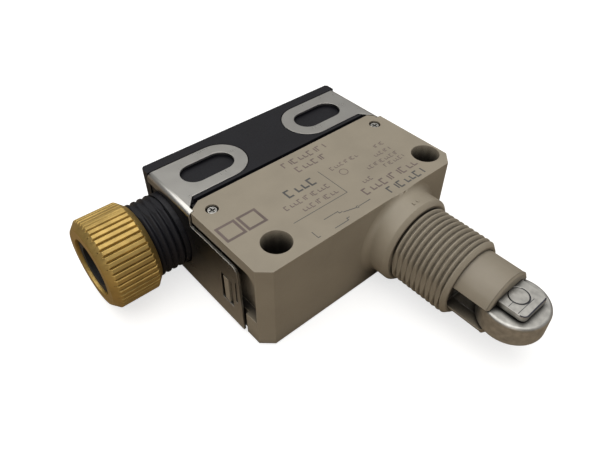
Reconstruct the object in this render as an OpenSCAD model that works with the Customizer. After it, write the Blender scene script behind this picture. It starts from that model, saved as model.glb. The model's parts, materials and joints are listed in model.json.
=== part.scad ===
// Roller-plunger limit switch with a side cable gland.
// The origin is midway between the two mounting holes, on the back face.
// +X points to the cable gland, +Y out along the plunger, +Z out of the front face.

/* [Housing] */
// Thickness of the whole switch, from back face to front face
body_t = 17.2; // [14.4:0.1:21]
// Distance between the two mounting holes
hole_spacing = 34; // [28.3:0.1:41]
// Diameter of the two mounting holes
hole_d = 5; // [4:0.1:5.4]
// From the gland-side mounting hole to the gland-side face
gland_margin = 6.6; // [5.6:0.1:8]
// From the far mounting hole to the far face
far_margin = 2.9; // [2.8:0.1:4]
// From the mounting holes to the housing's front end
front_margin = 4.4; // [4:0.1:5.4]
// From the mounting holes to the housing's back end
back_margin = 15.4; // [15:0.1:19]
// Bevel on the two front corners
front_bevel = 2; // [1:0.1:2.6]
// Bevel on the two back corners, measured along Y
back_bevel = 1.6; // [0.8:0.1:2]
// Wall between the switch pocket and the housing's front end
front_wall = 3.8; // [3.4:0.1:4.4]

/* [Bushing] */
// From the far mounting hole to the bushing's axis
bushing_offset = 10.7; // [10:0.1:13]
// Thread diameter of the bushing
bushing_d = 14; // [13.6:0.1:16.8]
// Thread pitch of the bushing
bushing_pitch = 1; // [0.75:0.05:1.5]
// Number of thread turns on the bushing
bushing_turns = 10; // [6:1:12]
// Length of the bushing's plain chamfered tip
bushing_tip = 1; // [0.8:0.1:2]
// Diameter of the smooth boss behind the thread
boss_d = 16; // [15.9:0.1:17.6]
// Length of the smooth boss
boss_l = 4.6; // [4:0.1:6]
// Half-distance between the two smooth bands that cross the thread
band_half_w = 6.45; // [6.3:0.05:8]

/* [Plunger] */
// Diameter of the plunger
plunger_d = 11.4; // [10:0.1:11.5]
// How far the plunger stands out of the bushing at rest
plunger_out = 6.3; // [5.8:0.1:9]
// Full travel of the plunger
plunger_travel = 4.5; // [3:0.1:4.8]
// Diameter of the flange that keeps the plunger in
flange_d = 13; // [12.6:0.1:13.2]
// Thickness of that flange
flange_t = 1.1; // [0.8:0.1:1.5]
// Wall of the plunger round its spring bore
plunger_wall = 1.45; // [1.3:0.05:1.6]
// Diameter of the seal ring's section
seal_d = 1; // [0.8:0.05:1.1]

/* [Roller] */
// Diameter of the roller
roller_d = 10.6; // [8:0.1:11]
// Thickness of the roller
roller_t = 4.2; // [3:0.1:5]
// Gap between the end of the plunger's arms and the roller's axis
roller_ahead = 1.5; // [0:0.1:3]
// Diameter of the roller pin
pin_d = 3.2; // [2.4:0.1:4]
// Thickness of each cheek of the roller fork
cheek_t = 1.1; // [0.7:0.1:1.4]
// Width of the fork's cheeks
cheek_w = 6.3; // [5:0.1:6.6]
// From the roller's axis to the end of the fork's cheeks
cheek_ahead = 3.1; // [2.6:0.1:4]

/* [Cover and gland] */
// Depth of the terminal cover along Y
cover_depth = 12.9; // [12:0.1:16]
// Wall thickness of the terminal cover
cover_wall = 1.7; // [1.2:0.1:2]
// Bevel on the terminal cover's two corners
cover_bevel = 0.4; // [0.2:0.1:1]
// Thickness of the gasket between housing and cover
gasket_t = 0.7; // [0.5:0.1:1.2]
// From the mounting holes back to the gland's axis
gland_back = 21.6; // [20.6:0.1:24]
// Thread diameter of the gland neck
neck_d = 13.4; // [11.5:0.1:13.6]
// Thread pitch of the gland neck
neck_pitch = 1.2; // [0.8:0.05:1.5]
// Length of the gland neck from the housing's gland-side face
neck_l = 11.4; // [10:0.1:14]
// Diameter of the gland nut
nut_d = 16.1; // [15:0.1:20]
// Length of the gland nut
nut_l = 9; // [8:0.1:11]
// Length of neck that shows between the cover and the gland nut
neck_show = 5.8; // [4:0.1:7]
// Diameter of the cable hole in the gland nut
cable_hole_d = 10.4; // [6:0.1:11]
// Diameter of the hole in the gland seal
seal_hole_d = 7; // [3:0.1:8]
// Number of knurl grooves on the gland nut
knurl_count = 48; // [24:1:60]
// Depth of the knurl grooves
knurl_depth = 0.35; // [0.2:0.05:0.5]
// How far the gland nut screws back from tight
nut_loosen = 2.4; // [1.2:0.1:3.6]

/* [Latch brackets] */
// Thickness of the bracket sheet
sheet_t = 0.45; // [0.3:0.05:0.6]
// How far the brackets' outer faces sit in from the body's widest sides
bracket_inset = 0; // [0:0.05:0.6]
// How far the housing's gland-side face steps in to let the latch arm lie over it
side_step = 0.4; // [0.2:0.05:0.6]
// Outside radius of the bracket's bend
bend_r = 1; // [0.8:0.1:1.4]
// Distance between the two slots
slot_spacing = 25.4; // [20:0.1:27]
// From the mounting holes back to the slots
slot_back = 21.8; // [21:0.1:23]
// Length of each slot
slot_l = 10.2; // [6:0.1:11]
// Width of each slot
slot_w = 5.1; // [3:0.1:5.5]
// Width of steel around each slot
slot_rim = 2.35; // [1.5:0.05:2.5]
// From the back of the housing to the end of the gland-side latch arm
arm_l = 14.5; // [12:0.1:15]
// Wall between the far latch arm's hollow and the far mounting hole
far_arm_wall = 1; // [0.6:0.1:2]
// From the switch's mid-plane to the latch arms' upper edge
arm_rise = 5.8; // [3.4:0.1:6.2]
// Room behind the latch arms
arm_flex = 0.5; // [0.15:0.05:0.5]

/* [Built-in switch] */
// Width of the built-in switch
sw_w = 25; // [24.6:0.1:27]
// Height of the built-in switch along Y
sw_h = 10.8; // [10.4:0.1:11.4]
// Thickness of the built-in switch
sw_t = 10; // [9.6:0.1:10.6]
// From the switch's far side to its button
sw_button_in = 6.1; // [6:0.1:8]
// Wall of the switch base
sw_wall = 1.2; // [1:0.1:1.4]
// Travel of the switch's button
sw_travel = 1; // [0.6:0.05:1.1]
// Diameter of the switch's button
button_d = 2.8; // [2:0.1:3.2]

/* [Springs] */
// Gap between the return spring and the plunger's spring bore
spring_play = 0.25; // [0.15:0.05:0.4]
// Wire diameter of the return spring
return_wire_d = 0.6; // [0.4:0.05:0.7]
// Turns of the return spring
return_turns = 8; // [5:1:10]
// Outside diameter of the overtravel spring
over_spring_d = 4.4; // [3.8:0.1:4.8]
// Wire diameter of the overtravel spring
over_wire_d = 0.45; // [0.3:0.05:0.5]
// Turns of the overtravel spring
over_turns = 10; // [6:1:12]

/* [Terminals and fasteners] */
// Thickness of the terminal strips
strip_t = 0.6; // [0.4:0.05:0.8]
// Distance between neighbouring terminal screws
terminal_spacing = 9.6; // [8:0.1:10]
// Thread diameter of the terminal screws
terminal_screw_d = 2.9; // [2:0.1:3]
// Head diameter of the terminal screws
terminal_head_d = 5; // [4:0.1:5.2]
// Head diameter of the two case screws
case_head_d = 1.9; // [1.6:0.1:2.4]
// Shank diameter of the two case screws
case_screw_d = 1.1; // [0.8:0.1:1.3]
// From the back of the housing to the case screws
case_screw_in = 3.1; // [2.6:0.1:3.6]
// From the gland-side face to its case screw
case_screw_gland = 3.5; // [3.3:0.1:5]
// From the far face to its case screw
case_screw_far = 2.9; // [2.7:0.1:4]

/* [Hidden] */
$fn = 64;

// Clearances
slide_gap = 0.05;     // radial gap of a sliding or running fit
seat_gap = 0.02;      // gap between pieces that sit still together
part_gap = 0.1;       // gap around pieces dropped into a pocket
eps = 0.01;           // how far a cut runs past a face

// Colours
beige = [0.62, 0.58, 0.50];
black = [0.16, 0.16, 0.18];
steel = [0.72, 0.71, 0.69];
brass = [0.72, 0.60, 0.33];
rubber = [0.10, 0.10, 0.11];
resin = [0.42, 0.20, 0.13];
copper = [0.74, 0.50, 0.32];
silver = [0.86, 0.86, 0.86];

// Body planes
zc = body_t / 2;
gland_x = hole_spacing / 2 + gland_margin;
far_x = -hole_spacing / 2 - far_margin;
mid_x = (gland_x + far_x) / 2;
side_x = gland_x - side_step;
front_y = front_margin;
back_y = -back_margin;
cover_front = back_y - gasket_t;
cover_back = cover_front - cover_depth;

// Bushing and plunger stations along Y
bush_x = -hole_spacing / 2 + bushing_offset;
boss_y = front_y + boss_l;
thread_l = bushing_turns * bushing_pitch;
tip_y = boss_y + thread_l + bushing_tip;
thread_depth = 0.6 * bushing_pitch;
bore_r = plunger_d / 2 + slide_gap;
spring_bore_d = plunger_d - 2 * plunger_wall;
return_spring_d = spring_bore_d - 2 * spring_play;
pocket_front = front_y - front_wall;
flange_stop = boss_y - 1.2;
flange_bore_r = flange_d / 2 + 0.15;
arm_end = tip_y + plunger_out;
flange_y = flange_stop - slide_gap - flange_t;
seat_t = 1.3;
seat_y = pocket_front + part_gap;
seat_top = seat_y + seat_t;
roller_y = arm_end + roller_ahead;
slot_z = roller_t / 2 + 0.12;
cheek_z = roller_t / 2 + 0.15;
slot_floor = tip_y - 0.7;
fork_base_t = 1.1;
tip_r = 0.9;
spring_bore_top = slot_floor - fork_base_t - 1.2;
seal_y = spring_bore_top - 1.4;

// Push rod
rod_d = 3;
rod_flange_d = over_spring_d + 0.3;
rod_flange_y = seat_top + sw_travel + 0.2;
rod_flange_t = 1;
rod_tip_y = pocket_front - 1;
rod_guide_d = 2.4;
rod_guide_l = 4.5;

// Built-in switch box
sw_x0 = bush_x - sw_button_in;
sw_x1 = sw_x0 + sw_w;
sw_y0 = back_y + 1.4;
sw_y1 = sw_y0 + sw_h;
sw_z0 = zc - sw_t / 2;
sw_z1 = zc + sw_t / 2;
lid_t = 1.2;
pocket_h = sw_t + 1.6;
pocket_z0 = zc - pocket_h / 2;

// Blade and contacts of the built-in switch
blade_t = 0.25;
blade_w = 4;
blade_y = sw_y1 - 3.8;
pivot_x = sw_x1 - 3.1;
contact_x = sw_x0 + sw_wall + 1.7;
contact_r = 1.3;
contact_up = 0.55;
contact_down = 0.55;
contact_gap = 0.05;
blade_lever = (pivot_x - contact_x) / (pivot_x - bush_x);
contact_throw = sw_travel * blade_lever + 0.15;
closed_y = blade_y + contact_up + contact_gap;
open_y = blade_y - blade_t - contact_down - contact_throw;
fixed_t = 0.5;
blade_z0 = zc - blade_w / 2 - 1;

// Terminal block and terminals
block_x0 = far_x + 1.65;
block_x1 = gland_x - 2.05;
flange_block_t = 1.25;
shelf_top = zc + 2;
shelf_y0 = cover_back + cover_wall + 1.5;
shelf_l = back_y - shelf_y0;
shelf_x0 = sw_x0 - 0.7;
shelf_x1 = sw_x1 + 0.5;
tail_z0 = shelf_top;
tail_z1 = tail_z0 + strip_t;
tail_w = 2.6;
pad_w = 6;
pad_y0 = shelf_y0 + 1;
pad_y1 = back_y - 0.6;
pad_y = (pad_y0 + pad_y1) / 2;
terminal_x = [for (i = [-1:1]) mid_x - 1.6 + i * terminal_spacing];
clamp_t = 0.8;
ear_y1 = back_y + 5.8;

// Brackets, seen from each side face inward
bracket_half = slot_w / 2 + slot_rim;
slot_in = (gland_x - far_x - 2 * bracket_inset - slot_spacing) / 2;
tip_in = slot_in + slot_l / 2 - slot_w / 2;
arm_play = 0.4;
gland_arm_y = back_y + arm_l;
far_arm_y = -hole_d / 2 - far_arm_wall - arm_play;
arm_low = 0.4;
arm_high = zc + arm_rise;
recess_in = bracket_inset + sheet_t + arm_flex;
recess_high = arm_high + 0.7;
far_hook_root = 0.5;
gland_hook_root = 1.2;
bracket_low_y = -slot_back - bracket_half;

// Gland stations along X
neck_x0 = gland_x - bracket_inset + slide_gap;
cover_side_x = gland_x - bracket_inset - 0.3;
neck_x1 = gland_x + neck_l;
neck_r = neck_d / 2;
nut_x0 = gland_x + neck_show - 0.1;
nut_x1 = nut_x0 + nut_l;
nut_wall = 1.2;
nut_bevel = 1.2;
washer_t = 0.4;
washer_x1 = nut_x1 - nut_wall - seat_gap;
seal_x0 = gland_x + 4.3;
seal_r = neck_r - 1.4;

// Places a shape drawn along Z so that it runs along +Y or +X
module along_y(x, y, z) translate([x, y, z]) rotate([-90, 0, 0]) children();
module along_x(x, y, z) translate([x, y, z]) rotate([0, 90, 0]) children();

// A box between two opposite corners
module box(low, high) translate(low) cube(high - low);

// A flat shape drawn in the YZ plane, with thickness t from x
module in_yz(x, t) translate([x, 0, 0]) rotate([90, 0, 90]) linear_extrude(t) children();

// Places its children on both sides of the body: the gland side, and the far side mirrored
module gland_side() translate([gland_x, 0, 0]) children();
module far_side() translate([far_x, 0, 0]) mirror([1, 0, 0]) children();

module tube(outer_r, inner_r, h) difference() {
    cylinder(r = outer_r, h = h);
    translate([0, 0, -eps]) cylinder(r = inner_r, h = h + 2 * eps);
}

function arc(cx, cy, r, from, to, n) =
    [for (i = [0:n]) let (a = from + (to - from) * i / n) [cx + r * cos(a), cy + r * sin(a)]];

// Half outline of a row of thread turns, from z = 0 upward
function thread_outline(r, depth, pitch, turns) =
    [for (i = [0:turns - 1]) for (p = [[0.06, -depth], [0.42, 0], [0.58, 0], [0.94, -depth]])
        [r + p[1], (i + p[0]) * pitch]];

module thread(r, depth, pitch, turns) rotate_extrude()
    polygon(concat([[0, 0], [r - depth, 0]], thread_outline(r, depth, pitch, turns),
        [[r - depth, turns * pitch], [0, turns * pitch]]));

// A coil spring along Z, with its end turns closed
function coil_z(turn, turns, wire, l) =
    turn < 1 ? wire / 2 + turn * wire
    : turn > turns - 1 ? l - wire / 2 - (turns - turn) * wire
    : wire * 1.5 + (turn - 1) * (l - 3 * wire) / (turns - 2);

module coil(outer_d, wire, l, turns, steps = 16, sides = 8) {
    r = (outer_d - wire) / 2;
    n = turns * steps;
    points = [for (i = [0:n]) for (j = [0:sides - 1])
        let (a = 360 * i / steps, b = 360 * j / sides, q = r + wire / 2 * cos(b))
        [q * cos(a), q * sin(a), coil_z(i / steps, turns, wire, l) + wire / 2 * sin(b)]];
    skin = [for (i = [0:n - 1]) for (j = [0:sides - 1]) let (k = (j + 1) % sides)
        for (f = [[i * sides + j, (i + 1) * sides + k, i * sides + k],
                  [i * sides + j, (i + 1) * sides + j, (i + 1) * sides + k]]) f];
    ends = [[for (j = [0:sides - 1]) j], [for (j = [sides - 1:-1:0]) n * sides + j]];
    polyhedron(points, concat(skin, ends), convexity = 10);
}

module cross_recess(size, depth) for (a = [0, 90])
    rotate([0, 0, a]) translate([-size / 2, -size / 8, -depth]) cube([size, size / 4, depth + eps]);

// Housing ---------------------------------------------------------------------------------

module housing_outline() polygon([
    [side_x, back_y + back_bevel], [side_x, front_y - front_bevel * 0.9],
    [side_x - front_bevel, front_y], [far_x + front_bevel, front_y],
    [far_x, front_y - front_bevel], [far_x, back_y + back_bevel],
    [far_x + back_bevel, back_y], [gland_x - back_bevel * 1.8, back_y]]);

module bushing() along_y(bush_x, front_y - 1, zc) {
    shoulder = 0.7;
    fillet = 1.2;
    rotate_extrude() polygon(concat(
        [[0, 0], [boss_d / 2 + fillet, 0], [boss_d / 2 + fillet, 1]],
        arc(boss_d / 2 + fillet, 1 + fillet, fillet, 270, 180, 6),
        [[boss_d / 2, 1 + boss_l - shoulder], [boss_d / 2 - shoulder, 1 + boss_l], [0, 1 + boss_l]]));
    intersection() {
        translate([0, 0, 1 + boss_l - eps])
            thread(bushing_d / 2 - 0.05, thread_depth, bushing_pitch, bushing_turns);
        translate([-band_half_w, -bushing_d, 0]) cube([2 * band_half_w, 2 * bushing_d, tip_y]);
    }
    translate([0, 0, 1 + boss_l + thread_l - 2 * eps]) rotate_extrude() polygon([
        [0, 0], [bushing_d / 2 - thread_depth, 0], [bushing_d / 2 - 0.1, 0.3 * bushing_tip],
        [bore_r + 0.5, bushing_tip + 2 * eps], [0, bushing_tip + 2 * eps]]);
}

// The hollow in a side face that takes a latch arm ending at end_y; past is how far the
// deeper part behind the window runs beyond the arm's end, and root is how much deeper it is
module arm_recess(end_y, past, root) {
    corner_y = back_y + back_bevel + 0.15;
    in_yz(-recess_in, recess_in + eps) polygon([
        [back_y - eps, -eps], [end_y + arm_play, -eps], [end_y + arm_play, recess_high],
        [corner_y, recess_high], [corner_y, body_t + eps], [back_y - eps, body_t + eps]]);
    in_yz(-recess_in - root, recess_in + root + eps) polygon(concat(
        [[end_y - 5.6, zc - 3.8], [end_y + past, zc - 3.8]],
        arc(end_y + past - 2, recess_high - 2, 2, 0, 90, 6), [[end_y - 5.6, recess_high]]));
}

// The hook that a latch arm's window snaps over
module catch_hook(end_y, root) {
    out = recess_in + root;
    translate([-out - eps, end_y - 3.9, zc - 4.2]) linear_extrude(5.5) polygon([
        [0, -1.2], [out - 0.35, -0.9], [out, -0.6], [out, 0.6], [0, 0.9]]);
}

module housing() color(beige) {
    clip_half = max(body_t, boss_d) / 2;
    difference() {
        union() {
            linear_extrude(body_t) housing_outline();
            intersection() {
                bushing();
                box([far_x, 0, zc - clip_half], [gland_x, tip_y + 1, zc + clip_half]);
            }
        }
        for (s = [-1, 1]) translate([s * hole_spacing / 2, 0, -1]) cylinder(d = hole_d, h = body_t + 2);
        // pocket of the built-in switch, and the wider pocket of the terminal block
        box([shelf_x0 - part_gap, back_y - 1, pocket_z0],
            [shelf_x1 + part_gap, sw_y1 + 1, pocket_z0 + pocket_h]);
        box([bush_x - 5, sw_y1, pocket_z0], [bush_x + 5, pocket_front + eps, pocket_z0 + pocket_h]);
        box([block_x0 - part_gap / 2, back_y - 1, pocket_z0],
            [block_x1 + part_gap / 2, ear_y1 + part_gap, pocket_z0 + pocket_h]);
        along_y(bush_x, pocket_front, zc) cylinder(r = flange_bore_r, h = flange_stop - pocket_front);
        along_y(bush_x, 0, zc) cylinder(r = bore_r, h = tip_y + 1);
        gland_side() arm_recess(gland_arm_y, 3.2, gland_hook_root);
        far_side() arm_recess(far_arm_y, arm_play, far_hook_root);
        gland_side() bracket_top_pocket(back_y - 1, back_y + back_bevel + 0.15);
        far_side() bracket_top_pocket(back_y - 1, back_y + back_bevel + 0.15);
        for (x = [gland_x - case_screw_gland, far_x + case_screw_far])
            translate([x, back_y + case_screw_in, 0]) {
                translate([0, 0, body_t - 1.3]) cylinder(d = case_head_d + 0.3, h = 2);
                translate([0, 0, zc]) cylinder(d = case_screw_d + 0.3, h = body_t);
            }
    }
    gland_side() catch_hook(gland_arm_y, gland_hook_root);
    far_side() catch_hook(far_arm_y, far_hook_root);
}

module case_screws() color(steel)
    for (x = [gland_x - case_screw_gland, far_x + case_screw_far])
        translate([x, back_y + case_screw_in, 0]) difference() {
            union() {
                translate([0, 0, body_t - 1.3 + seat_gap]) cylinder(d1 = case_head_d, d2 = case_head_d - 0.3,
                    h = 1);
                translate([0, 0, zc - 1]) cylinder(d = case_screw_d, h = body_t - zc);
            }
            translate([0, 0, body_t - 0.3 + seat_gap]) cross_recess(1.2, 0.5);
        }

// Cover, gasket and brackets --------------------------------------------------------------

module cover_gasket() color(rubber) difference() {
    box([far_x + 1, cover_front + seat_gap, 0.9], [gland_x - 1.9, back_y - seat_gap, body_t - 0.9]);
    box([block_x0 + 0.6, cover_front - 1, zc - 6.2], [block_x1 - 0.6, back_y + 1, zc + 6.2]);
}

// Top of a bracket from its side face inward, grown by g, with a tail towards the latch arm
module bracket_top(g) {
    tail = [2.8, 0.6];
    tail_y = back_y + back_bevel - 0.2;
    translate([-tip_in, -slot_back]) circle(r = bracket_half + g);
    polygon([[-tip_in, -slot_back - bracket_half - g], [0, -slot_back - bracket_half - g],
        [0, tail_y + g], [-tail[1] - g, tail_y - 0.4 + g], [-tail[0] - g, -slot_back + bracket_half + g],
        [-tip_in, -slot_back + bracket_half + g]]);
}

// Outline of a bracket's side with its latch arm, in the YZ plane
module bracket_side(end_y) {
    bend_z = body_t - bend_r;
    toe = 1.2;
    difference() {
        polygon(concat(
            [[bracket_low_y, bend_z - 0.6], [bracket_low_y, bend_z], [back_y + back_bevel, bend_z],
             [back_y + back_bevel, arm_high]],
            arc(end_y - 1.8, arm_high - 1.3, 1.3, 90, 20, 4),
            [[end_y - 0.2, zc - 2], [end_y, arm_low], [-slot_back + toe, arm_low],
             [-slot_back + toe, bend_z - 0.6]]));
        // window over the housing's hook, and the narrow slit beside it
        translate([end_y - 5.3, zc - 4.4]) square([3, 6.1]);
        translate([end_y - 1.45, zc - 2.4]) square([0.4, 4.7]);
    }
}

module bracket(end_y, neck_hole) {
    difference() {
        union() {
            translate([-bracket_inset, 0, body_t - sheet_t]) linear_extrude(sheet_t) difference() {
                bracket_top(0);
                translate([-bend_r + eps, -50]) square([bend_r, 100]);
            }
            // quarter-round bend along the side edge
            intersection() {
                along_y(-bracket_inset - bend_r, bracket_low_y, body_t - bend_r)
                    tube(bend_r, bend_r - sheet_t, back_y + back_bevel - bracket_low_y);
                box([-bracket_inset - bend_r, bracket_low_y, body_t - bend_r],
                    [0, back_y + back_bevel, body_t]);
            }
            in_yz(-bracket_inset - sheet_t, sheet_t) bracket_side(end_y);
        }
        translate([-bracket_inset, 0, body_t - 3]) linear_extrude(4) slot_shape(0);
        if (neck_hole) along_x(-5, -gland_back, zc) cylinder(r = neck_r + 0.2, h = 10);
    }
}

module slot_shape(g) for (s = [-1, 1]) {
    translate([-slot_in + s * (slot_l - slot_w) / 2, -slot_back]) circle(d = slot_w + 2 * g);
    translate([-slot_in, -slot_back]) square([slot_l - slot_w, slot_w + 2 * g], center = true);
}

module gland_latch_bracket() color(steel) gland_side() bracket(gland_arm_y, true);
module far_latch_bracket() color(steel) far_side() bracket(far_arm_y, false);

// The pocket that a bracket's top sits in, with its bend running from y0 to y1
module bracket_top_pocket(y0, y1) {
    translate([-bracket_inset, 0, body_t - sheet_t - slide_gap]) linear_extrude(2) bracket_top(0.18);
    difference() {
        box([-bracket_inset - bend_r, y0, body_t - bend_r], [1, y1, body_t + 1]);
        along_y(-bracket_inset - bend_r, y0 - 1, body_t - bend_r)
            cylinder(r = bend_r - sheet_t - slide_gap, h = y1 - y0 + 2);
    }
}

// What a bracket needs cut out of the cover
module bracket_pocket() {
    bracket_top_pocket(bracket_low_y - 0.12, cover_front + 1);
    translate([-bracket_inset, 0, body_t - sheet_t - 0.4]) linear_extrude(2) slot_shape(0.05);
    side_w = bracket_inset + sheet_t + slide_gap;
    box([-side_w, bracket_low_y - 0.12, -1], [1, cover_front + 1, body_t + 1]);
}

module terminal_cover() color(black) difference() {
    union() {
        difference() {
            linear_extrude(body_t) polygon([
                [far_x, cover_front], [far_x, cover_back + cover_bevel],
                [far_x + cover_bevel, cover_back], [cover_side_x - cover_bevel, cover_back],
                [cover_side_x, cover_back + cover_bevel], [cover_side_x, cover_front]]);
            box([far_x + cover_wall, cover_back + cover_wall, 1.6],
                [gland_x - cover_wall - 1, cover_front + 1, body_t - 1.8]);
            gland_side() bracket_pocket();
            far_side() bracket_pocket();
        }
        along_x(gland_x - 1.5, -gland_back, zc) cylinder(r = neck_r - 0.1, h = 2);
        along_x(neck_x0, -gland_back, zc) {
            cylinder(r = neck_r - 0.1, h = 0.8);
            translate([0, 0, 0.8 - eps]) {
                turns = floor((neck_x1 - neck_x0 - 0.8) / neck_pitch);
                intersection() {
                    thread(neck_r, 0.45, neck_pitch, turns);
                    translate([-neck_r + 0.35, -neck_d, 0]) cube([neck_d - 0.7, 2 * neck_d, 20]);
                }
                cylinder(r = neck_r - 0.45, h = neck_x1 - neck_x0 - 0.8);
            }
        }
    }
    along_x(gland_x - 5, -gland_back, zc) cylinder(r = seal_r - 1.2, h = neck_l + 10);
    along_x(seal_x0 - seat_gap, -gland_back, zc) cylinder(r = seal_r + seat_gap, h = neck_l);
}

// Gland -----------------------------------------------------------------------------------

module gland_nut() color(brass) along_x(nut_x0, -gland_back, zc) difference() {
    intersection() {
        linear_extrude(nut_l) polygon([for (i = [0:knurl_count - 1])
            for (p = [[-0.3, 0], [0.3, 0], [0.5, -knurl_depth]])
                let (a = 360 * (i + p[0]) / knurl_count, r = nut_d / 2 + p[1]) [r * cos(a), r * sin(a)]]);
        rotate_extrude() polygon([
            [0, 0], [nut_d / 2 - nut_bevel, 0], [nut_d / 2 + eps, nut_bevel],
            [nut_d / 2 + eps, nut_l - nut_bevel], [nut_d / 2 - nut_bevel, nut_l], [0, nut_l]]);
    }
    translate([0, 0, -eps]) cylinder(r = neck_r + slide_gap, h = nut_l - nut_wall + eps);
    cylinder(d = cable_hole_d, h = nut_l + 1);
}

module gland_washer() color(brass) along_x(washer_x1 - washer_t, -gland_back, zc)
    tube(neck_r - 0.1, cable_hole_d / 2 - 0.3, washer_t);

// A sleeve whose nose passes through the washer and fills the nut's hole
module gland_seal() color(rubber) along_x(seal_x0, -gland_back, zc) {
    sleeve_l = washer_x1 - washer_t - seal_x0 - seat_gap;
    nose_from = sleeve_l - 0.3;
    tube(seal_r, seal_hole_d / 2, sleeve_l);
    translate([0, 0, nose_from])
        tube(cable_hole_d / 2 - 0.4, seal_hole_d / 2, nut_x1 - 0.5 - seal_x0 - nose_from);
}

// Plunger head ----------------------------------------------------------------------------

module plunger() color(beige) difference() {
    union() {
        along_y(bush_x, flange_y, zc) {
            cylinder(d = flange_d, h = flange_t);
            cylinder(d = plunger_d, h = arm_end - flange_y - 0.3);
            translate([0, 0, arm_end - flange_y - 0.3 - eps])
                cylinder(d1 = plunger_d, d2 = plunger_d - 0.6, h = 0.3 + eps);
        }
    }
    along_y(bush_x, flange_y - 1, zc) cylinder(d = spring_bore_d, h = spring_bore_top - flange_y + 1);
    // slot for the roller, and wider pockets for the fork's base and cheeks
    box([bush_x - 10, slot_floor, zc - slot_z], [bush_x + 10, arm_end + 1, zc + slot_z]);
    box([bush_x - cheek_w / 2 - seat_gap, slot_floor - fork_base_t, zc - cheek_z - cheek_t - seat_gap],
        [bush_x + cheek_w / 2 + seat_gap, arm_end + 1, zc + cheek_z + cheek_t + seat_gap]);
    along_y(bush_x, seal_y - seal_d / 2 - part_gap, zc)
        tube(plunger_d, bore_r - seal_d - 0.03, seal_d + 2 * part_gap);
}

module plunger_seal() color(rubber) along_y(bush_x, seal_y, zc) rotate_extrude()
    translate([bore_r - 0.01 - seal_d / 2, 0]) circle(d = seal_d, $fn = 32);

module roller_fork() color(steel) difference() {
    union() {
        for (s = [0, 1]) translate([0, 0, zc]) mirror([0, 0, s])
            translate([bush_x, 0, cheek_z]) linear_extrude(cheek_t) polygon(concat(
                [[-cheek_w / 2, slot_floor - fork_base_t + seat_gap],
                 [cheek_w / 2, slot_floor - fork_base_t + seat_gap]],
                arc(cheek_w / 2 - tip_r, roller_y + cheek_ahead - tip_r, tip_r, 0, 90, 6),
                arc(-cheek_w / 2 + tip_r, roller_y + cheek_ahead - tip_r, tip_r, 90, 180, 6)));
        box([bush_x - cheek_w / 2, slot_floor - fork_base_t + seat_gap, zc - cheek_z - eps],
            [bush_x + cheek_w / 2, slot_floor, zc + cheek_z + eps]);
    }
    translate([bush_x, roller_y, 0]) cylinder(d = pin_d + 2 * seat_gap, h = body_t);
}

module roller() color(steel) translate([bush_x, roller_y, zc - roller_t / 2]) {
    rim_r = 0.5;
    rotate_extrude() polygon(concat([[pin_d / 2 + slide_gap, 0]],
        arc(roller_d / 2 - rim_r, rim_r, rim_r, -90, 0, 6),
        arc(roller_d / 2 - rim_r, roller_t - rim_r, rim_r, 0, 90, 6),
        [[pin_d / 2 + slide_gap, roller_t]]));
}

module roller_pin() color(steel) translate([bush_x, roller_y, zc - cheek_z - cheek_t]) {
    l = 2 * (cheek_z + cheek_t);
    edge = 0.12;
    rotate_extrude() polygon([[0, 0], [pin_d / 2 - edge, 0], [pin_d / 2, edge],
        [pin_d / 2, l - edge], [pin_d / 2 - edge, l], [0, l]]);
}

module spring_seat() color(brass) along_y(bush_x, seat_y, zc)
    tube(flange_bore_r - seat_gap, rod_d / 2 + slide_gap, seat_t);

module return_spring() color(silver) along_y(bush_x, seat_top + seat_gap, zc)
    coil(return_spring_d, return_wire_d, spring_bore_top - seat_top - 2 * seat_gap, return_turns);

module push_rod() color(brass) along_y(bush_x, rod_tip_y, zc) {
    cylinder(d = rod_d, h = rod_flange_y - rod_tip_y + eps);
    translate([0, 0, rod_flange_y - rod_tip_y]) cylinder(d = rod_flange_d, h = rod_flange_t);
    translate([0, 0, rod_flange_y - rod_tip_y + rod_flange_t - eps])
        cylinder(d = rod_guide_d, h = rod_guide_l);
}

module overtravel_spring() color(silver) along_y(bush_x, rod_flange_y + rod_flange_t + seat_gap, zc)
    coil(over_spring_d, over_wire_d,
        spring_bore_top - rod_flange_y - rod_flange_t - 2 * seat_gap, over_turns);

// Built-in switch -------------------------------------------------------------------------

module terminal_tails(g) for (i = [0:2])
    box([tail_x(i) - tail_w / 2 - g, back_y - 2, tail_z0 - g],
        [tail_x(i) + tail_w / 2 + g, sw_y0 + sw_wall + eps, tail_z1 + g]);

// Where each terminal leaves the switch: closed, open, common
function tail_x(i) = [sw_x0 + sw_wall + 1.8, mid_x - 1.6, pivot_x + 0.25][i];

module switch_base() color(resin) difference() {
    box([sw_x0, sw_y0, sw_z0], [sw_x1, sw_y1, sw_z1 - lid_t]);
    box([sw_x0 + sw_wall, sw_y0 + sw_wall, sw_z0 + sw_wall],
        [sw_x1 - sw_wall, sw_y1 - sw_wall, sw_z1]);
    along_y(bush_x, sw_y1 - sw_wall - 1, zc) cylinder(d = button_d + 2 * slide_gap, h = sw_wall + 2);
    terminal_tails(seat_gap);
}

module switch_lid() color(resin) {
    box([sw_x0, sw_y0, sw_z1 - lid_t + seat_gap], [sw_x1, sw_y1, sw_z1]);
    box([sw_x0 + sw_wall + seat_gap, sw_y0 + sw_wall + seat_gap, sw_z1 - lid_t - 0.4],
        [sw_x1 - sw_wall - seat_gap, sw_y0 + sw_wall + 1.2, sw_z1 - lid_t + 0.1]);
}

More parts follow.
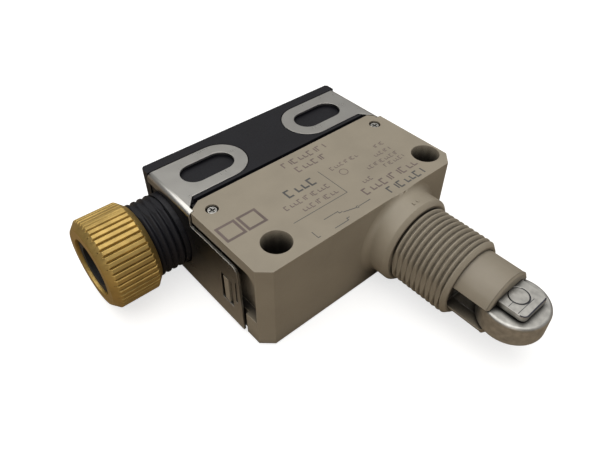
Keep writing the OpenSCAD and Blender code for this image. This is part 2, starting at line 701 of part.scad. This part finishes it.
module switch_button() color([0.75, 0.16, 0.12]) along_y(bush_x, blade_y + contact_gap, zc) {
    nose_l = 1;
    cylinder(r = 0.6, h = nose_l + eps);
    translate([0, 0, nose_l])
        cylinder(d = button_d, h = rod_tip_y - slide_gap - blade_y - contact_gap - nose_l);
    collar_y = sw_y1 - sw_wall - 0.7 - blade_y - contact_gap - slide_gap;
    translate([0, 0, collar_y]) cylinder(d = button_d + 0.6, h = 0.7);
}

module moving_blade() color(copper) difference() {
    box([contact_x - 1.5, blade_y - blade_t, blade_z0], [pivot_x - 0.1, blade_y, blade_z0 + blade_w]);
    box([bush_x + button_d / 2 + 1, blade_y - 1, blade_z0 + 1.2],
        [pivot_x - 2.5, blade_y + 1, blade_z0 + blade_w - 1.2]);
    along_y(contact_x, blade_y - 1, blade_z0 + blade_w / 2) cylinder(r = 0.6, h = 2);
}

module moving_contact() color(silver) along_y(contact_x, blade_y - blade_t - contact_down,
    blade_z0 + blade_w / 2) {
    cylinder(r = contact_r, h = contact_down);
    cylinder(r = 0.6 - seat_gap, h = contact_down + blade_t + 0.1);
    translate([0, 0, contact_down + blade_t]) cylinder(r = contact_r, h = contact_up);
}

module fixed_contact(y, h) along_y(contact_x, y, blade_z0 + blade_w / 2) cylinder(r = contact_r, h = h);

module closed_contact() color(silver) fixed_contact(closed_y, fixed_t);
module open_contact() color(silver) fixed_contact(open_y - fixed_t, fixed_t);

// Pad and tail of a terminal, outside the built-in switch
module terminal_pad(i) difference() {
    union() {
        box([tail_x(i) - tail_w / 2, pad_y1 - 0.5, tail_z0],
            [tail_x(i) + tail_w / 2, sw_y0 + sw_wall + 0.5, tail_z1]);
        box([min(tail_x(i) - tail_w / 2, terminal_x[i] - pad_w / 2), pad_y1 - 1, tail_z0],
            [max(tail_x(i) + tail_w / 2, terminal_x[i] + pad_w / 2), pad_y1, tail_z1]);
        box([terminal_x[i] - pad_w / 2, pad_y0, tail_z0], [terminal_x[i] + pad_w / 2, pad_y1, tail_z1]);
    }
    translate([terminal_x[i], pad_y, zc]) cylinder(d = terminal_screw_d + 2 * seat_gap, h = 10);
}

module closed_terminal() color(copper) {
    y = closed_y + fixed_t;
    terminal_pad(0);
    box([tail_x(0) - tail_w / 2, sw_y0 + sw_wall, tail_z0], [tail_x(0) + tail_w / 2, y + 0.5, tail_z1]);
    box([contact_x - 1.4, y, blade_z0], [contact_x + 1.4, y + 0.5, tail_z1]);
}

module open_terminal() color(copper) {
    y = open_y - fixed_t;
    terminal_pad(1);
    box([contact_x - 1.4, y - 0.5, blade_z0], [tail_x(1) + 0.3, y, blade_z0 + blade_w]);
    box([tail_x(1) - 0.3, sw_y0 + sw_wall, blade_z0], [tail_x(1) + 0.3, y, tail_z1]);
}

module common_terminal() color(copper) {
    terminal_pad(2);
    box([pivot_x, sw_y0 + sw_wall, blade_z0], [pivot_x + 0.5, blade_y + 0.6, tail_z1]);
}

// Terminal block --------------------------------------------------------------------------

module terminal_block() color(black) difference() {
    union() {
        box([shelf_x0, shelf_y0, zc - 6 + part_gap], [shelf_x1, back_y, shelf_top]);
        box([block_x0, back_y, pocket_z0 + part_gap],
            [block_x1, back_y + flange_block_t, pocket_z0 + pocket_h - part_gap]);
        box([block_x0, back_y, pocket_z0 + part_gap],
            [sw_x0 - part_gap, ear_y1, pocket_z0 + pocket_h - part_gap]);
        box([sw_x1 + part_gap, back_y, pocket_z0 + part_gap],
            [block_x1, ear_y1, pocket_z0 + pocket_h - part_gap]);
        for (i = [0:1])
            translate([(terminal_x[i] + terminal_x[i + 1]) / 2 - 0.5, shelf_y0, shelf_top - eps])
                cube([1, shelf_l - 1.8, 3]);
    }
    terminal_tails(seat_gap);
    for (x = terminal_x) translate([x, pad_y, zc - 4]) cylinder(d = terminal_screw_d + 2 * seat_gap, h = 10);
    for (x = [gland_x - case_screw_gland, far_x + case_screw_far])
        translate([x, back_y + case_screw_in, zc - 2]) cylinder(d = case_screw_d + 2 * seat_gap, h = 10);
}

module terminal_clamps() color(steel) for (x = terminal_x)
    translate([x, pad_y, tail_z1 + seat_gap]) difference() {
        translate([-2.7, -2.7, 0]) cube([5.4, 5.4, clamp_t]);
        translate([0, 0, -1]) cylinder(d = terminal_screw_d + 2 * seat_gap, h = 3);
    }

module terminal_screws() color(steel) for (x = terminal_x)
    translate([x, pad_y, 0]) difference() {
        head_z = tail_z1 + clamp_t + 2 * seat_gap;
        union() {
            translate([0, 0, zc - 3.5]) cylinder(d = terminal_screw_d, h = head_z - zc + 3.6);
            translate([0, 0, head_z]) cylinder(d = terminal_head_d, h = 1.5);
        }
        translate([0, 0, head_z + 1.5]) cross_recess(3, 0.8);
    }

housing();
case_screws();
terminal_cover();
cover_gasket();
gland_latch_bracket();
far_latch_bracket();
gland_nut();
gland_washer();
gland_seal();
plunger();
plunger_seal();
roller_fork();
roller();
roller_pin();
spring_seat();
return_spring();
push_rod();
overtravel_spring();
switch_base();
switch_lid();
switch_button();
moving_blade();
moving_contact();
closed_contact();
open_contact();
common_terminal();
closed_terminal();
open_terminal();
terminal_block();
terminal_clamps();
terminal_screws();
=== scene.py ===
"""Looks of a roller-plunger limit switch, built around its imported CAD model."""

import json
import math

import bmesh
import bpy
from mathutils import Matrix, Vector


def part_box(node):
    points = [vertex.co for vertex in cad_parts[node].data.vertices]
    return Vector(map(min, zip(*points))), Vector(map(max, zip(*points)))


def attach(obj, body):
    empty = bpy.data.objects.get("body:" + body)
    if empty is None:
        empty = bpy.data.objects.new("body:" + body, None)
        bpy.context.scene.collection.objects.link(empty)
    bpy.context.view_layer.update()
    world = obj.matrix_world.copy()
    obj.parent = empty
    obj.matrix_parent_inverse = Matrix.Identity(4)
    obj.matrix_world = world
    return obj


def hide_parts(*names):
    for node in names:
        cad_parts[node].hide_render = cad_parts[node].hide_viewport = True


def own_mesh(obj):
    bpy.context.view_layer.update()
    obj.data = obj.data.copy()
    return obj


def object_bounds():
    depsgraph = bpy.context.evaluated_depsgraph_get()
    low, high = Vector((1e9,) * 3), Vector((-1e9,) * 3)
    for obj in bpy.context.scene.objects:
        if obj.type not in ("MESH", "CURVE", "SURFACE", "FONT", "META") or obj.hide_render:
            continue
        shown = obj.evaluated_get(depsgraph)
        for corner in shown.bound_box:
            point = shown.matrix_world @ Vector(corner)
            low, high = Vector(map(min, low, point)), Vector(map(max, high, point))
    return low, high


MM = 0.001
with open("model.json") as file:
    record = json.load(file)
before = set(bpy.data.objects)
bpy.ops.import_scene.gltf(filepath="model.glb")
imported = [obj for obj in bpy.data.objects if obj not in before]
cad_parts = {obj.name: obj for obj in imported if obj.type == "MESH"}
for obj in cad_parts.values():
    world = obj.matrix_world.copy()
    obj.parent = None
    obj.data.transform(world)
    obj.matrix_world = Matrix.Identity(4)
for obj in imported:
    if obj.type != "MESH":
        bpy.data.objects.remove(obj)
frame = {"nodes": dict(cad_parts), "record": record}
CAD_LOW, CAD_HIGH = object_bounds()
NODES = frame["nodes"]


# Camera and light ------------------------------------------------------------------------

CAMERA_PLACE = Vector((52.96, 46.18, 76.03)) * MM
CAMERA_FORWARD = Vector((-0.47894, -0.54541, -0.68785))
CAMERA_UP = Vector((-0.44710, -0.52276, 0.72583))
CAMERA_LENS = 33.55


def make_camera():
    data = bpy.data.cameras.new("camera")
    data.lens = CAMERA_LENS
    data.sensor_width = 36
    data.sensor_fit = "HORIZONTAL"
    data.clip_start = 0.005
    data.clip_end = 20
    camera = bpy.data.objects.new("camera", data)
    bpy.context.scene.collection.objects.link(camera)
    forward = CAMERA_FORWARD.normalized()
    right = forward.cross(CAMERA_UP).normalized()
    up = right.cross(forward)
    turn = Matrix((right, up, -forward)).transposed().to_4x4()
    camera.matrix_world = Matrix.Translation(CAMERA_PLACE) @ turn
    bpy.context.scene.camera = camera


def area_light(name, place, target, size, power, colour):
    """A square soft box at place, in metres, that faces target."""
    data = bpy.data.lights.new(name, "AREA")
    data.shape = "SQUARE"
    data.size = size
    data.energy = power
    data.color = colour
    light = bpy.data.objects.new(name, data)
    light.location = place
    light.rotation_mode = "QUATERNION"
    light.rotation_quaternion = (Vector(target) - Vector(place)).to_track_quat("-Z", "Y")
    bpy.context.scene.collection.objects.link(light)


def make_light():
    scene = bpy.context.scene
    scene.view_settings.view_transform = "Standard"
    world = bpy.data.worlds.new("studio")
    world.use_nodes = True
    background = world.node_tree.nodes["Background"]
    background.inputs["Color"].default_value = (1.0, 0.98, 0.95, 1)
    tree = world.node_tree
    # The world is dimmer from the gland's side, which is +X
    direction = tree.nodes.new("ShaderNodeSeparateXYZ")
    tree.links.new(tree.nodes.new("ShaderNodeTexCoord").outputs["Generated"], direction.inputs[0])
    strength = tree.nodes.new("ShaderNodeMapRange")
    for key, value in (("From Min", -0.3), ("From Max", 0.9), ("To Min", 0.32), ("To Max", 0.12)):
        strength.inputs[key].default_value = value
    tree.links.new(direction.outputs["X"], strength.inputs["Value"])
    tree.links.new(strength.outputs["Result"], background.inputs["Strength"])
    scene.world = world
    middle = (CAD_LOW + CAD_HIGH) / 2
    area_light("overhead", middle + Vector((0.06, -0.05, 0.50)), middle,
               size=0.80, power=2.95, colour=(1.0, 0.99, 0.96))
    area_light("side_fill", middle + Vector((0.50, 0.40, 0.18)), middle,
               size=0.40, power=0.5, colour=(1.0, 0.94, 0.86))


def make_floor():
    """A floor that looks nearly white to the camera, and dull and warm in what the object reflects."""
    reach, gap = 3.0, 0.0002
    seen_colour, reflected_colour, glow = (0.60, 0.60, 0.60), (0.30, 0.235, 0.165), 0.68
    mesh = bpy.data.meshes.new("floor")
    floor_z = CAD_LOW.z - gap
    mesh.from_pydata([(x * reach, y * reach, floor_z) for x, y in ((-1, -1), (1, -1), (1, 1), (-1, 1))],
                     [], [(0, 1, 2, 3)])
    floor = bpy.data.objects.new("floor", mesh)
    bpy.context.scene.collection.objects.link(floor)
    graph = Graph("pale_floor")
    seen = graph.tree.nodes.new("ShaderNodeLightPath").outputs["Is Camera Ray"]
    graph.set("Base Color", graph.mix(seen, reflected_colour, seen_colour))
    graph.set("Emission Color", (1, 1, 1))
    graph.set("Emission Strength", graph.math("MULTIPLY", seen, glow))
    graph.set("Roughness", 0.8)
    floor.data.materials.append(graph.material)


# Materials -------------------------------------------------------------------------------

class Graph:
    """A material and short ways to add nodes to it. Positions are in metres."""

    def __init__(self, name):
        self.material = bpy.data.materials.new(name)
        self.material.use_nodes = True
        self.tree = self.material.node_tree
        self.shader = self.tree.nodes["Principled BSDF"]
        self.place = self.tree.nodes.new("ShaderNodeTexCoord").outputs["Object"]

    def node(self, kind, **values):
        """A new node. Each value goes to its setting of that name, or else to its input."""
        node = self.tree.nodes.new(kind)
        for key, value in values.items():
            if hasattr(node, key):
                setattr(node, key, value)
            else:
                self.put(node.inputs[key.replace("_", " ")], value)
        return node

    def put(self, socket, value):
        """Links an output to the socket, or sets the socket to a plain value."""
        if isinstance(value, bpy.types.NodeSocket):
            self.tree.links.new(value, socket)
        elif isinstance(value, (tuple, list)) and len(value) == 3 and socket.type == "RGBA":
            socket.default_value = (*value, 1)
        else:
            socket.default_value = value

    def set(self, name, value):
        """Sets or links an input of the shader."""
        self.put(self.shader.inputs[name], value)

    def scaled(self, x, y, z):
        """The place, stretched or squeezed along each axis."""
        node = self.tree.nodes.new("ShaderNodeMapping")
        self.put(node.inputs["Vector"], self.place)
        node.inputs["Scale"].default_value = (x, y, z)
        return node.outputs[0]

    def parts(self, vector):
        """The X, Y and Z outputs of a vector."""
        node = self.tree.nodes.new("ShaderNodeSeparateXYZ")
        self.put(node.inputs["Vector"], vector)
        return node.outputs

    def noise(self, size_mm, detail=2.0, vector=None, rough=0.5):
        """Noise whose blobs are about size_mm across, from 0 to 1."""
        return self.node("ShaderNodeTexNoise", Vector=vector or self.place, Scale=1 / (size_mm * MM),
                         Detail=detail, Roughness=rough).outputs["Fac"]

    def ramp(self, factor, low, high, to_low=0.0, to_high=1.0):
        """factor from low..high mapped to to_low..to_high, and held there."""
        node = self.tree.nodes.new("ShaderNodeMapRange")
        for key, value in (("Value", factor), ("From Min", low), ("From Max", high),
                           ("To Min", to_low), ("To Max", to_high)):
            self.put(node.inputs[key], value)
        return node.outputs["Result"]

    def math(self, operation, a, b=0.0):
        node = self.tree.nodes.new("ShaderNodeMath")
        node.operation = operation
        self.put(node.inputs[0], a)
        self.put(node.inputs[1], b)
        return node.outputs[0]

    def mix(self, factor, a, b):
        """Colour a where factor is 0, and b where it is 1."""
        node = self.tree.nodes.new("ShaderNodeMix")
        node.data_type = "RGBA"
        self.put(node.inputs["Factor"], factor)
        self.put(node.inputs[6], a)
        self.put(node.inputs[7], b)
        return node.outputs[2]

    def edges(self, radius_mm):
        """1 along outer edges, 0 on flat faces."""
        bevel = self.node("ShaderNodeBevel", samples=4, Radius=radius_mm * MM).outputs["Normal"]
        plain = self.tree.nodes.new("ShaderNodeNewGeometry").outputs["Normal"]
        dot = self.tree.nodes.new("ShaderNodeVectorMath")
        dot.operation = "DOT_PRODUCT"
        self.put(dot.inputs[0], bevel)
        self.put(dot.inputs[1], plain)
        return self.ramp(dot.outputs["Value"], 0.995, 0.85)

    def crevices(self, reach_mm, start=0.75, full=0.25):
        """1 in tight corners and grooves, 0 in the open; start and full are shares of open sky."""
        open_air = self.node("ShaderNodeAmbientOcclusion", samples=8, Distance=reach_mm * MM).outputs["AO"]
        return self.ramp(open_air, start, full)

    def bump(self, height, distance_mm, strength):
        node = self.tree.nodes.new("ShaderNodeBump")
        self.put(node.inputs["Height"], height)
        node.inputs["Distance"].default_value = distance_mm * MM
        node.inputs["Strength"].default_value = strength
        self.set("Normal", node.outputs[0])


def beige_paint(name, colour, rough):
    """Fine-grained paint with painted shade in its tight corners and deeper painted shade in its deep ones.
    """
    # Colours of the painted shade, in tight corners and deep in holes
    corner_shade_tone, deep_shade_tone = (0.05, 0.040, 0.032), (0.006, 0.005, 0.0045)
    worn_and_highlit = tuple(min(1, c * 1.35) for c in colour)
    g = Graph(name)
    blotch = g.noise(6, 3)
    fine = g.noise(0.35, 3)
    tone = g.mix(g.ramp(blotch, 0.35, 0.7), colour, tuple(c * 0.9 for c in colour))
    # Painted shade in tight corners and grooves
    tone = g.mix(g.math("MULTIPLY", g.crevices(0.8, start=0.85, full=0.3), 0.75), tone, corner_shade_tone)
    # Painted shade deep in holes and recesses, nearly black
    tone = g.mix(g.math("MULTIPLY", g.crevices(6, start=0.62, full=0.30), 0.98), tone, deep_shade_tone)
    # Edges paled partly by wear and partly as a painted highlight
    tone = g.mix(g.math("MULTIPLY", g.edges(0.25), 0.35), tone, worn_and_highlit)
    g.set("Base Color", tone)
    g.set("Roughness", g.ramp(fine, 0.3, 0.7, rough - 0.06, rough + 0.06))
    g.bump(fine, 0.012, 0.6)
    return g.material


def moulded(name, colour, rough, grain_mm=0.25, depth_mm=0.01, shine=0.5):
    """Plastic, rubber or ink: a fine grain, edges paled by wear and a painted highlight, and painted shade
    in its corners.
    """
    worn_and_highlit = tuple(min(1, c * 2.0 + 0.01) for c in colour)
    g = Graph(name)
    grain = g.noise(grain_mm, 3)
    blotch = g.noise(5, 3)
    tone = g.mix(g.ramp(blotch, 0.35, 0.7), colour, tuple(c * 0.75 for c in colour))
    # Edges paled partly by wear and partly as a painted highlight
    tone = g.mix(g.math("MULTIPLY", g.edges(0.2), 0.4), tone, worn_and_highlit)
    # Painted shade in corners and narrow gaps
    tone = g.mix(g.math("MULTIPLY", g.crevices(0.6), 0.7), tone, tuple(c * 0.2 for c in colour))
    g.set("Base Color", tone)
    g.set("Specular IOR Level", shine)
    g.set("Roughness", g.ramp(grain, 0.3, 0.7, rough - 0.08, rough + 0.08))
    g.bump(grain, depth_mm, 0.6)
    return g.material


def metal(name, colour, rough, stretch=(1, 1, 1), scratch_mm=0.08, depth_mm=0.002, tarnish=0.25,
          corner_shade_mm=0.6, corner_shade=0.6, corner_shade_from=0.75, streak=0.07, cloud_mm=2.5, side_shade=0.0):
    """Bare metal with fine scratches that run where stretch is small, and painted shade in its corners.

    Its last argument paints shade on the faces that look along X, darker towards the front, in place of the
    dark reflections they show."""
    g = Graph(name)
    scratch = g.noise(scratch_mm, 2, g.scaled(*stretch), 0.6)
    cloud = g.noise(cloud_mm, 3)
    dull = tuple(c * (1 - tarnish) for c in colour)
    shaded_tone = tuple(c * 0.1 for c in colour)
    tone = g.mix(g.ramp(cloud, 0.35, 0.7), colour, dull)
    # Painted shade on the X-facing sides, darker towards the front, in place of the dark reflections there
    if side_shade:
        facing = g.parts(g.tree.nodes.new("ShaderNodeNewGeometry").outputs["Normal"])["X"]
        side = g.ramp(g.math("ABSOLUTE", facing), 0.8, 0.97)
        upper = g.ramp(g.parts(g.place)["Z"], 1 * MM, 13 * MM, 0.2 * side_shade, side_shade)
        tone = g.mix(g.math("MULTIPLY", side, upper), tone, tuple(c * 0.08 for c in colour))
    # Painted shade in corners and grooves
    corners = g.crevices(corner_shade_mm, start=corner_shade_from, full=corner_shade_from - 0.4)
    tone = g.mix(g.math("MULTIPLY", corners, corner_shade), tone, shaded_tone)
    g.set("Base Color", tone)
    g.set("Metallic", 1.0)
    g.set("Roughness", g.math("ADD", g.ramp(scratch, 0.3, 0.7, rough - streak, rough + streak),
                              g.ramp(cloud, 0.3, 0.7, -0.03, 0.05)))
    g.bump(scratch, depth_mm, 0.7)
    return g.material


def make_materials():
    beige = (0.335, 0.292, 0.225)
    return {
        "beige_paint": beige_paint("beige_paint", beige, 0.42),
        "plunger_finish": beige_paint("plunger_finish", (0.31, 0.27, 0.21), 0.40),
        "black_resin": moulded("black_resin", (0.0070, 0.0070, 0.0110), 0.5, shine=0.32),
        # The sheet gets painted shade on its X-facing sides, and both steels painted shade in their corners
        "stainless_sheet": metal("stainless_sheet", (0.66, 0.65, 0.62), 0.30, (1, 0.05, 1), depth_mm=0.0002,
                                 tarnish=0.05, corner_shade=0.85, corner_shade_mm=0.9, streak=0.02, side_shade=0.75),
        "turned_steel": metal("turned_steel", (0.60, 0.59, 0.56), 0.40, (1, 1, 0.05), corner_shade_mm=1.3,
                              corner_shade=0.95, corner_shade_from=0.9, tarnish=0.28, cloud_mm=1.1),
        "plated_screw": metal("plated_screw", (0.82, 0.81, 0.78), 0.22, tarnish=0.1),
        "gland_brass": metal("gland_brass", (0.64, 0.45, 0.155), 0.48, (0.2, 1, 1), tarnish=0.2),
        "inner_brass": metal("inner_brass", (0.78, 0.58, 0.26), 0.32),
        "black_rubber": moulded("black_rubber", (0.014, 0.014, 0.015), 0.7),
        "phenolic": moulded("phenolic", (0.10, 0.035, 0.02), 0.4),
        "red_nylon": moulded("red_nylon", (0.45, 0.03, 0.02), 0.35),
        "contact_copper": metal("contact_copper", (0.80, 0.46, 0.26), 0.3),
        "contact_silver": metal("contact_silver", (0.85, 0.84, 0.81), 0.22),
        "spring_steel": metal("spring_steel", (0.52, 0.52, 0.52), 0.3),
    }


def dress_cad_nodes(materials):
    slots = {part["node"]: part["material_slot"] for part in frame["record"]["subparts"]}
    for name, node in NODES.items():
        for slot in node.material_slots:
            slot.material = materials[slots[name]]


# Rounded edges ---------------------------------------------------------------------------

SOFT_EDGES_MM = {
    "housing": 0.07, "terminal_cover": 0.04, "gland_latch_bracket": 0.04, "far_latch_bracket": 0.04,
    "gland_nut": 0.06, "plunger": 0.07, "roller_fork": 0.18, "case_screws": 0.04,
    "switch_base": 0.1, "switch_lid": 0.08, "terminal_block": 0.1, "terminal_clamps": 0.08,
    "terminal_screws": 0.06,
}
# The bevel would run past the box at this node's thin corners
CLAMPED = ("terminal_cover",)


def soften(name, width_mm):
    """Rounds a CAD node's outer edges a little, with modifiers on top of its fixed mesh."""
    node = NODES[name]
    weld = node.modifiers.new("weld", "WELD")
    weld.merge_threshold = 2e-6
    flat = node.modifiers.new("flat_faces", "DECIMATE")
    flat.decimate_type = "DISSOLVE"
    flat.angle_limit = math.radians(0.8)
    bevel = node.modifiers.new("round_edges", "BEVEL")
    bevel.width = width_mm * MM
    bevel.segments = 2
    bevel.limit_method = "ANGLE"
    bevel.angle_limit = math.radians(32)
    bevel.use_clamp_overlap = name in CLAMPED
    bevel.harden_normals = True
    bevel.miter_outer = "MITER_ARC"


# Small pieces ----------------------------------------------------------------------------

def add_piece(name, body, mesh, material):
    """A new object that rides on a CAD body, its mesh in millimetres."""
    mesh.transform(Matrix.Scale(MM, 4))
    piece = bpy.data.objects.new(name, mesh)
    bpy.context.scene.collection.objects.link(piece)
    piece.data.materials.append(material)
    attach(piece, body)
    return piece


def arc(cx, cy, r, start, end, steps=12):
    """Points on an arc, with its angles in degrees."""
    angles = [math.radians(start + (end - start) * i / steps) for i in range(steps + 1)]
    return [(cx + r * math.cos(a), cy + r * math.sin(a)) for a in angles]


class Print:
    """Flat strokes of ink in one mesh, each a closed ribbon between two heights."""

    def __init__(self, low, high):
        self.mesh = bmesh.new()
        self.low, self.high = low, high

    def stroke(self, points, width, closed=False):
        """A ribbon along points, mitred at its corners."""
        count = len(points)
        left, right = [], []
        for i, point in enumerate(points):
            here = Vector(point)
            before = Vector(points[i - 1]) if i or closed else None
            after = Vector(points[(i + 1) % count]) if i < count - 1 or closed else None
            into = (here - before).normalized() if before else (after - here).normalized()
            out = (after - here).normalized() if after else into
            mitre = Vector((-(into.y + out.y), into.x + out.x)).normalized()
            reach = width / 2 / max(0.3, mitre.dot(Vector((-into.y, into.x))))
            left.append(here + mitre * reach)
            right.append(here - mitre * reach)
        rings = [[self.mesh.verts.new((p.x, p.y, z)) for p, z in
                  ((a, self.high), (b, self.high), (b, self.low), (a, self.low))]
                 for a, b in zip(left, right)]
        pairs = list(zip(rings, rings[1:])) + ([(rings[-1], rings[0])] if closed else [])
        for one, two in pairs:
            for k in range(4):
                self.mesh.faces.new((one[k], one[(k + 1) % 4], two[(k + 1) % 4], two[k]))
        if not closed:
            self.mesh.faces.new(rings[0][::-1])
            self.mesh.faces.new(rings[-1])

    def finish(self, name):
        bmesh.ops.recalc_face_normals(self.mesh, faces=self.mesh.faces)
        mesh = bpy.data.meshes.new(name)
        self.mesh.to_mesh(mesh)
        self.mesh.free()
        return mesh


# Strokes that stand in for writing and spell nothing, in a box one unit high
SQUIGGLES = (
    ((0, 1), (0.6, 1), (0.6, 0), (0, 0)), ((0, 0), (0, 0.8), (0.6, 0.8)), ((0, 0.5), (0.6, 0.5)),
    ((0, 0), (0.6, 0), (0.6, 1)), ((0.1, 0), (0.1, 1)), ((0, 0.9), (0.6, 0.9), (0.6, 0.2)),
    ((0, 0), (0, 1), (0.6, 1), (0.6, 0)),
)


# How deep a print reaches into the face that carries it
INK_SUNK_MM = 0.02


def print_line(ink, x0, x1, y, height, seed):
    """A line of squiggles in uneven groups, from x0 to x1, with its middle at y."""
    x, i = x0, seed
    while x < x1 - 0.5 * height:
        shape = SQUIGGLES[(i * i + 3 * i) % len(SQUIGGLES)]
        ink.stroke([(x + u * height, y + (v - 0.5) * height) for u, v in shape], 0.22 * height)
        i += 1
        x += height * (1.3 if (i * 5) % 7 == 0 else 0.88)


def face_print(ink_material, dark_material):
    """Generic marks on the front face: ruled lines, squiggles in place of words, a contact diagram."""
    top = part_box("housing")[1].z / MM
    raised = 0.006
    ink, bold = Print(top - INK_SUNK_MM, top + raised), Print(top - INK_SUNK_MM, top + raised)
    for x0, x1, y, height, seed in (
            (-5.0, 4.6, -13.4, 1.2, 1), (-3.0, 3.4, -11.1, 1.2, 2),
            (2.2, 12.0, -4.7, 0.9, 4), (2.0, 9.5, -2.7, 0.9, 5),
            (-7.4, -1.1, -7.5, 0.75, 6), (-13.6, -10.9, -7.2, 0.75, 7), (-13.4, -9.0, -5.3, 0.75, 8),
            (-13.5, -5.8, -3.6, 0.75, 9), (-13.6, -8.6, -2.2, 0.75, 10), (-4.8, -2.4, -1.5, 0.8, 11),
            (-13.7, -0.6, 0.5, 1.35, 12)):
        print_line(ink, x0, x1, y, height, seed)
    bold.stroke([(1.05, -8.5), (1.05, -1.35), (12.5, -1.35)], 0.12)
    bold.stroke([(11.2, 3.4), (11.7, 3.4), (11.7, 1.9)], 0.14)
    for x in (16.8, 20.8):
        ink.stroke([(x - 1.6, -7.9), (x + 1.6, -7.9), (x + 1.6, -4.7), (x - 1.6, -4.7)], 0.5, closed=True)
    ink.stroke(arc(-2.3, -5.6, 0.75, 0, 345, 20), 0.14, closed=True)
    # Contact diagram: common pole, blade, and the two contacts it moves between
    bold.stroke(arc(2.3, 2.3, 0.22, 0, 330), 0.12, closed=True)
    bold.stroke([(-0.6, 2.3), (1.9, 2.3)], 0.14)
    bold.stroke([(2.6, 2.3), (4.9, 1.7)], 0.16)
    for y, step in ((1.5, -0.45), (3.1, 0.45)):
        bold.stroke([(4.9, y), (5.5, y), (5.5, y + step), (8.4, y + step)], 0.14)
    add_piece("face_print", "switch_body", ink.finish("face_print"), ink_material)
    print_line(bold, -13.0, -4.2, 2.8, 1.35, 3)
    print_line(bold, 3.2, 9.6, -7.2, 1.6, 4)
    add_piece("bold_print", "switch_body", bold.finish("bold_print"), dark_material)


def fork_marks(ink_material):
    """Scribed lines and a dark ring round the pin on the outer face of the upper fork cheek, with painted
    shade in a band along its rounded end.
    """
    low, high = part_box("roller_fork")
    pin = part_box("roller_pin")
    top = pin[1].z / MM
    middle_x = (low.x + high.x) / 2 / MM
    pin_y = (pin[0].y + pin[1].y) / 2 / MM
    pin_r = (pin[1].x - pin[0].x) / 2 / MM
    side_x = high.x / MM
    raised, corner = 0.004, 0.95
    ink = Print(top - INK_SUNK_MM, top + raised)
    ink.stroke([(middle_x + pin_r + 0.1, pin_y + 0.15), (side_x - 0.2, pin_y + 0.15)], 0.08)
    ink.stroke([(middle_x - 1.2, pin_y + 1.8), (side_x - 0.1, pin_y + 1.8)], 0.09)
    ink.stroke(arc(middle_x, pin_y, pin_r + 0.05, -20, 200, 24), 0.09)
    # Painted shade: a dark band along the cheek's rounded end
    tip_y, half = high.y / MM, (high.x - low.x) / 2 / MM
    ink.stroke(arc(middle_x + half - corner, tip_y - corner, 0.88, 0, 90, 8) +
               arc(middle_x - half + corner, tip_y - corner, 0.80, 90, 120, 4), 0.22)
    add_piece("fork_scribes_and_painted_shade", "plunger_head", ink.finish("fork_scribes_and_painted_shade"), ink_material)


def boss_marks(material):
    """Two small moulded studs on the boss."""
    boss_x = (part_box("roller")[0].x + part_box("roller")[1].x) / 2 / MM
    middle_z = (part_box("roller")[0].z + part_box("roller")[1].z) / 2 / MM
    mesh = bmesh.new()
    boss_r, stud_y, stud, aside, sunk = 8.0, 7.2, 0.45, 0.2, 0.06
    for offset in (-0.45, 0.45):
        made = bmesh.ops.create_cube(mesh, size=1)
        bmesh.ops.scale(mesh, vec=(stud, stud * 1.4, 0.3), verts=made["verts"])
        place = (boss_x + offset + aside, stud_y, middle_z + boss_r - sunk)
        bmesh.ops.translate(mesh, vec=place, verts=made["verts"])
    bmesh.ops.bevel(mesh, geom=mesh.edges[:], offset=0.08, segments=2, affect="EDGES")
    shape = bpy.data.meshes.new("boss_marks")
    mesh.to_mesh(shape)
    mesh.free()
    add_piece("boss_marks", "switch_body", shape, material)


def coil(name, node, body, wire, turns, material):
    """A round-wire compression spring in the place of its CAD node."""
    low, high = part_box(node)
    low, high = low / MM, high / MM
    middle = (low + high) / 2
    radius = (high.x - low.x - wire) / 2
    length = high.y - low.y
    steps, sides = 32, 10
    mesh = bmesh.new()
    rings = []
    for i in range(turns * steps + 1):
        turn = i / steps
        if turn < 1:
            y = wire / 2 + turn * wire
        elif turn > turns - 1:
            y = length - wire / 2 - (turns - turn) * wire
        else:
            y = 1.5 * wire + (turn - 1) * (length - 3 * wire) / (turns - 2)
        a = 2 * math.pi * turn
        ring = []
        for k in range(sides):
            b = 2 * math.pi * k / sides
            r = radius + wire / 2 * math.cos(b)
            ring.append(mesh.verts.new((middle.x + r * math.cos(a), low.y + y + wire / 2 * math.sin(b),
                                        middle.z + r * math.sin(a))))
        rings.append(ring)
    for one, two in zip(rings, rings[1:]):
        for k in range(sides):
            face = mesh.faces.new((one[k], one[(k + 1) % sides], two[(k + 1) % sides], two[k]))
            face.smooth = True
    mesh.faces.new(rings[0])
    mesh.faces.new(rings[-1][::-1])
    bmesh.ops.recalc_face_normals(mesh, faces=mesh.faces)
    shape = bpy.data.meshes.new(name)
    mesh.to_mesh(shape)
    mesh.free()
    piece = add_piece(name, body, shape, material)
    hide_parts(node)
    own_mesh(piece)


# The whole scene -------------------------------------------------------------------------

make_camera()
make_light()
make_floor()
materials = make_materials()
dress_cad_nodes(materials)
for node, width in SOFT_EDGES_MM.items():
    soften(node, width)
face_print(moulded("print_ink", (0.165, 0.125, 0.112), 0.5, depth_mm=0.001),
           moulded("bold_ink", (0.085, 0.082, 0.080), 0.5, depth_mm=0.001))
fork_marks(moulded("scribe_marks_and_painted_shade", (0.02, 0.02, 0.035), 0.6, depth_mm=0.001))
boss_marks(materials["beige_paint"])
coil("return_spring_coil", "return_spring", "switch_body",
     wire=0.6, turns=8, material=materials["spring_steel"])
coil("overtravel_spring_coil", "overtravel_spring", "push_rod",
     wire=0.45, turns=10, material=materials["spring_steel"])
